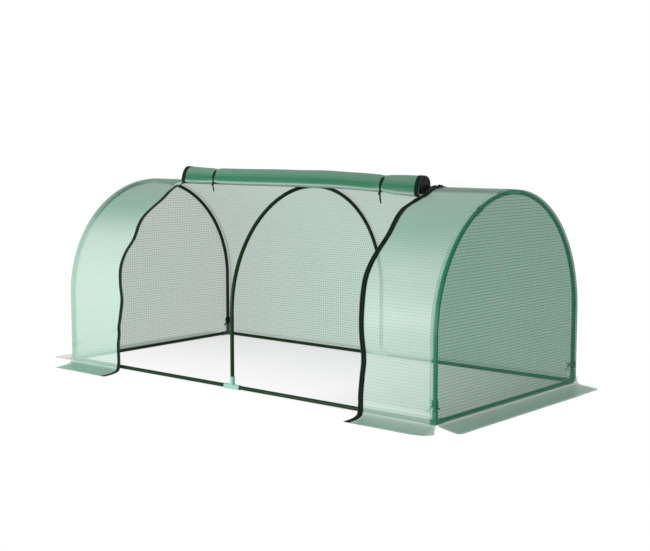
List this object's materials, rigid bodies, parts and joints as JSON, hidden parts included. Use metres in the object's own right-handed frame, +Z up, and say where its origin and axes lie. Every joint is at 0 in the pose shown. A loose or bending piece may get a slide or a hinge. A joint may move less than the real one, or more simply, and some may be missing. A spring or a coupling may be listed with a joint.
{
  "type": "polytunnel greenhouse",
  "caption": "Low tunnel greenhouse: bent steel tube arches on a base frame, under a translucent green grid film cover with ground flaps and a rolled-up zip door in front.",
  "frame": {"origin": "on the ground, under the middle arch, at the centre of the cover's outline", "axes": "+X along the ridge, -Y towards the doorway, +Z up"},
  "size_m": [2.2676, 1.2676, 0.8756],
  "materials": {
    "frame_tube": "dark green powder coat, satin",
    "connector": "pale green moulded plastic, satin",
    "film": "translucent green film with a woven grid of threads",
    "zip_tape": "near-black woven zip tape",
    "zip_slider": "plated zinc, satin",
    "tie_tape": "near-black woven tape"
  },
  "bodies": {
    "root": {"back_left_base_rail": "frame_tube", "back_left_corner_joint": "connector", "back_left_leg_tie": "tie_tape", "back_middle_tee": "connector", "back_right_base_rail": "frame_tube", "back_right_corner_joint": "connector", "back_right_leg_tie": "tie_tape", "back_sheet": "film", "front_left_base_rail": "frame_tube", "front_left_corner_joint": "connector", "front_left_leg_tie": "tie_tape", "front_left_panel": "film", "front_middle_tee": "connector", "front_right_base_rail": "frame_tube", "front_right_corner_joint": "connector", "front_right_leg_tie": "tie_tape", "front_right_panel": "film", "left_arch_back_half": "frame_tube", "left_arch_front_half": "frame_tube", "left_crown_tie": "tie_tape", "left_door_zip": "zip_tape", "left_end_panel": "film", "left_end_rail": "frame_tube", "left_ridge_rail": "frame_tube", "left_ridge_tee": "connector", "left_roll_tie": "tie_tape", "left_zip": "zip_tape", "left_zip_slider": "zip_slider", "middle_arch_back_half": "frame_tube", "middle_arch_front_half": "frame_tube", "middle_ridge_cross": "connector", "right_arch_back_half": "frame_tube", "right_arch_front_half": "frame_tube", "right_crown_tie": "tie_tape", "right_door_zip": "zip_tape", "right_end_panel": "film", "right_end_rail": "frame_tube", "right_ridge_rail": "frame_tube", "right_ridge_tee": "connector", "right_roll_tie": "tie_tape", "right_zip": "zip_tape", "right_zip_slider": "zip_slider", "rolled_door": "film"}
  },
  "joints": []
}
